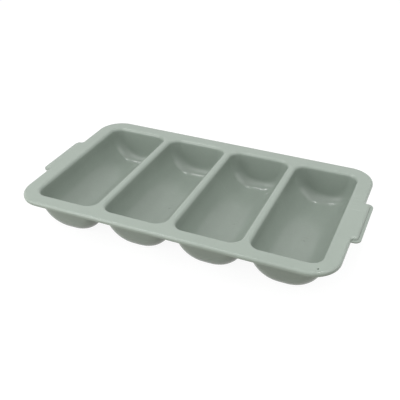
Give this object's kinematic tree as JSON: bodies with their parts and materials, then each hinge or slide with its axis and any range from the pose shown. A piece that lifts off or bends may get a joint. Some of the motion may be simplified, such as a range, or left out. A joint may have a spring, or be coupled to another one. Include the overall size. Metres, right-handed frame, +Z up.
{
  "type": "cutlery bin",
  "caption": "Shallow moulded tray for cutlery: a flat rim, U-section compartments side by side, and a carrying tab at each end.",
  "frame": {"origin": "on the floor plane under the middle of the tray", "axes": "+X along the length towards the right tab, +Y across the width away from the viewer of the picture, +Z up"},
  "size_m": [0.53, 0.292, 0.062],
  "materials": {
    "grey_polyethylene": "satin, fine moulded grain"
  },
  "bodies": {
    "root": {"rim_deck": "grey_polyethylene", "divider_1": "grey_polyethylene", "divider_2": "grey_polyethylene", "divider_3": "grey_polyethylene", "skirt_front": "grey_polyethylene", "skirt_back": "grey_polyethylene", "handle_left": "grey_polyethylene", "handle_right": "grey_polyethylene", "handle_lip_left": "grey_polyethylene", "handle_lip_right": "grey_polyethylene", "trough_1": "grey_polyethylene", "trough_2": "grey_polyethylene", "trough_3": "grey_polyethylene", "trough_4": "grey_polyethylene"}
  },
  "joints": []
}
